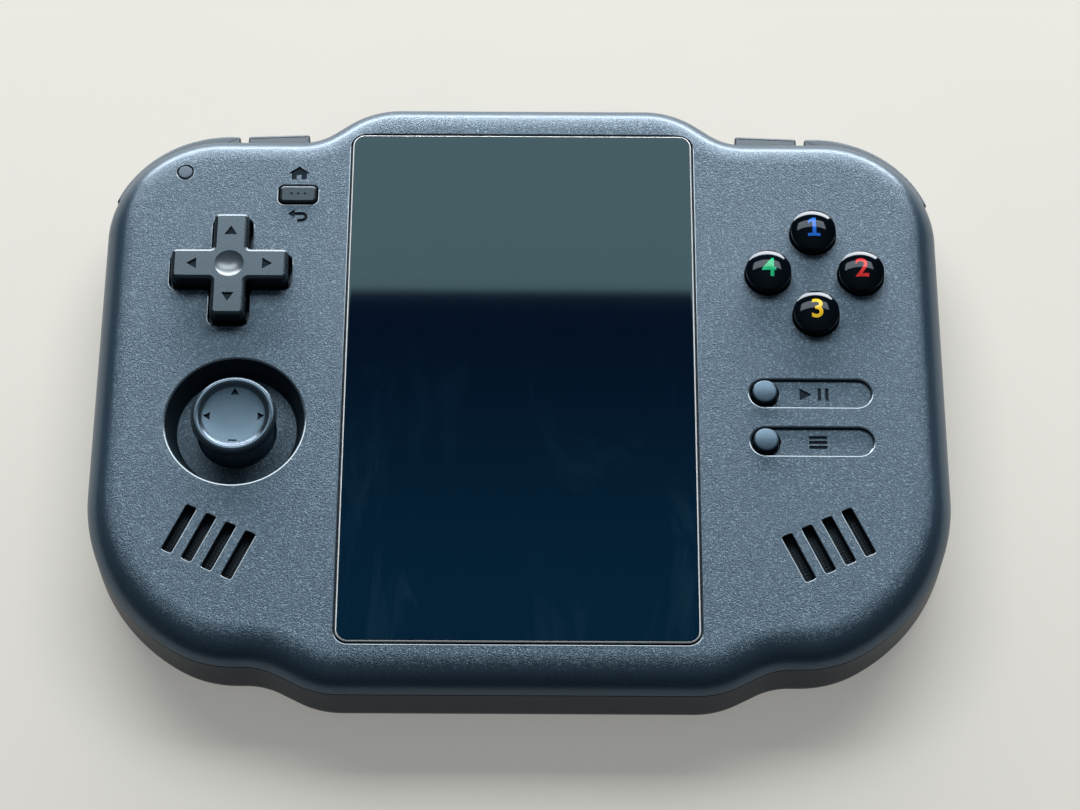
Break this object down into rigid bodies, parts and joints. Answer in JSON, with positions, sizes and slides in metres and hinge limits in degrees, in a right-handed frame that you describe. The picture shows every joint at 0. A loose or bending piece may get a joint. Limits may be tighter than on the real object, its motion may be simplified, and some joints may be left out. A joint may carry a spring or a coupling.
{
  "type": "handheld game console",
  "caption": "Horizontal handheld game console: tall glass screen between two wings with a direction pad, thumb stick, domed face buttons, speaker slots and shoulder buttons.",
  "frame": {"origin": "middle of the flat back that the console lies on, in line with the middle of the screen", "axes": "+X to the right wing, +Y to the shoulder edge, +Z out of the screen"},
  "size_m": [0.137, 0.1057, 0.0193],
  "materials": {
    "shell": "fine spark-eroded grain, slate blue grey",
    "cover_glass": "polished, black printed back",
    "display": "dark panel",
    "tape": "black foam tape",
    "flex_cable": "amber polyimide film",
    "circuit_board": "green solder mask",
    "steel": "bright steel",
    "battery_wrap": "silver pouch film",
    "connector": "ivory moulded plastic",
    "dark_keys": "satin charcoal",
    "gloss_keys": "gloss black",
    "silicone": "grey silicone rubber",
    "inner_plastic": "black moulded plastic",
    "dust_mesh": "black woven mesh",
    "light_guide": "tinted clear plastic"
  },
  "bodies": {
    "case": {"front_shell": "shell", "rear_shell": "shell", "screen_glass": "cover_glass", "display_panel": "display", "screen_adhesive": "tape", "display_ribbon": "flex_cable", "main_board": "circuit_board", "board_screws": "steel", "case_screws": "steel", "bumper_pins": "steel", "stick_spring": "steel", "shield_can": "steel", "usb_socket": "steel", "card_reader": "steel", "shoulder_switches": "steel", "side_switches": "steel", "function_switch": "steel", "battery": "battery_wrap", "battery_plug": "connector", "d_pad_membrane": "silicone", "face_button_membrane": "silicone", "start_select_membrane": "silicone", "d_pad_seat": "inner_plastic", "stick_housing": "inner_plastic", "left_speaker": "inner_plastic", "right_speaker": "inner_plastic", "headphone_socket": "inner_plastic", "left_speaker_mesh": "dust_mesh", "right_speaker_mesh": "dust_mesh", "indicator_light_guide": "light_guide"},
    "d_pad_pivot": {"d_pad_pivot": "steel"},
    "d_pad": {"d_pad": "dark_keys"},
    "face_button_top": {"face_button_top": "gloss_keys"},
    "face_button_right": {"face_button_right": "gloss_keys"},
    "face_button_bottom": {"face_button_bottom": "gloss_keys"},
    "face_button_left": {"face_button_left": "gloss_keys"},
    "start_button": {"start_button": "dark_keys"},
    "select_button": {"select_button": "dark_keys"},
    "function_button": {"function_button": "shell"},
    "stick_carriage": {"stick_carriage": "inner_plastic"},
    "stick_gimbal": {"stick_gimbal": "connector"},
    "stick": {"stick_cap": "dark_keys", "stick_lever": "steel"},
    "left_bumper": {"left_bumper": "dark_keys"},
    "right_bumper": {"right_bumper": "dark_keys"},
    "left_trigger": {"left_trigger": "dark_keys"},
    "right_trigger": {"right_trigger": "dark_keys"},
    "power_button": {"power_button": "shell"},
    "volume_up_button": {"volume_up_button": "shell"},
    "volume_down_button": {"volume_down_button": "shell"}
  },
  "joints": [
    {"name": "d_pad_rock_x", "type": "hinge", "parent": "case", "child": "d_pad_pivot", "pos_m": [-0.04745, 0.01935, 0.0122], "axis": [1, 0, 0], "range_deg": [-4, 4], "stiffness_Nm_per_rad": 0.1, "deforming": ["d_pad_membrane"]},
    {"name": "d_pad_rock_y", "type": "hinge", "parent": "d_pad_pivot", "child": "d_pad", "pos_m": [-0.04745, 0.01935, 0.0122], "axis": [0, 1, 0], "range_deg": [-4, 4], "stiffness_Nm_per_rad": 0.1, "deforming": ["d_pad_membrane"]},
    {"name": "face_button_top_press", "type": "slide", "parent": "case", "child": "face_button_top", "axis": [0, 0, -1], "range_m": [0, 0.0011], "stiffness_N_per_m": 400, "springref_m": -0.001, "deforming": ["face_button_membrane"]},
    {"name": "face_button_right_press", "type": "slide", "parent": "case", "child": "face_button_right", "axis": [0, 0, -1], "range_m": [0, 0.0011], "stiffness_N_per_m": 400, "springref_m": -0.001, "deforming": ["face_button_membrane"]},
    {"name": "face_button_bottom_press", "type": "slide", "parent": "case", "child": "face_button_bottom", "axis": [0, 0, -1], "range_m": [0, 0.0011], "stiffness_N_per_m": 400, "springref_m": -0.001, "deforming": ["face_button_membrane"]},
    {"name": "face_button_left_press", "type": "slide", "parent": "case", "child": "face_button_left", "axis": [0, 0, -1], "range_m": [0, 0.0011], "stiffness_N_per_m": 400, "springref_m": -0.001, "deforming": ["face_button_membrane"]},
    {"name": "start_press", "type": "slide", "parent": "case", "child": "start_button", "axis": [0, 0, -1], "range_m": [0, 0.0008], "stiffness_N_per_m": 400, "springref_m": -0.001, "deforming": ["start_select_membrane"]},
    {"name": "select_press", "type": "slide", "parent": "case", "child": "select_button", "axis": [0, 0, -1], "range_m": [0, 0.0008], "stiffness_N_per_m": 400, "springref_m": -0.001, "deforming": ["start_select_membrane"]},
    {"name": "function_press", "type": "slide", "parent": "case", "child": "function_button", "axis": [0, 0, -1], "range_m": [0, 0.0006], "stiffness_N_per_m": 600, "springref_m": -0.001},
    {"name": "stick_press", "type": "slide", "parent": "case", "child": "stick_carriage", "axis": [0, 0, -1], "range_m": [0, 0.0006], "stiffness_N_per_m": 2000, "springref_m": -0.001, "deforming": ["stick_spring"]},
    {"name": "stick_tilt_x", "type": "hinge", "parent": "stick_carriage", "child": "stick_gimbal", "pos_m": [-0.04545, -0.00775, 0.0076], "axis": [1, 0, 0], "range_deg": [-15, 15], "stiffness_Nm_per_rad": 0.02},
    {"name": "stick_tilt_y", "type": "hinge", "parent": "stick_gimbal", "child": "stick", "pos_m": [-0.04545, -0.00775, 0.0076], "axis": [0, 1, 0], "range_deg": [-15, 15], "stiffness_Nm_per_rad": 0.02},
    {"name": "right_bumper_press", "type": "hinge", "parent": "case", "child": "right_bumper", "pos_m": [0.06312, 0.0341, 0.008], "axis": [0, 0, 1], "range_deg": [0, 3.2], "stiffness_Nm_per_rad": 0.3, "springref_deg": -5.73},
    {"name": "left_bumper_press", "type": "hinge", "parent": "case", "child": "left_bumper", "pos_m": [-0.06312, 0.0341, 0.008], "axis": [0, 0, -1], "range_deg": [0, 3.2], "stiffness_Nm_per_rad": 0.3, "springref_deg": -5.73},
    {"name": "right_trigger_press", "type": "slide", "parent": "case", "child": "right_trigger", "axis": [0, -1, 0], "range_m": [0, 0.001], "stiffness_N_per_m": 800, "springref_m": -0.001},
    {"name": "left_trigger_press", "type": "slide", "parent": "case", "child": "left_trigger", "axis": [0, -1, 0], "range_m": [0, 0.001], "stiffness_N_per_m": 800, "springref_m": -0.001},
    {"name": "power_press", "type": "slide", "parent": "case", "child": "power_button", "axis": [0, -1, 0], "range_m": [0, 0.0004], "stiffness_N_per_m": 1500, "springref_m": -0.001},
    {"name": "volume_up_press", "type": "slide", "parent": "case", "child": "volume_up_button", "axis": [0, -1, 0], "range_m": [0, 0.0004], "stiffness_N_per_m": 1500, "springref_m": -0.001},
    {"name": "volume_down_press", "type": "slide", "parent": "case", "child": "volume_down_button", "axis": [0, -1, 0], "range_m": [0, 0.0004], "stiffness_N_per_m": 1500, "springref_m": -0.001}
  ]
}
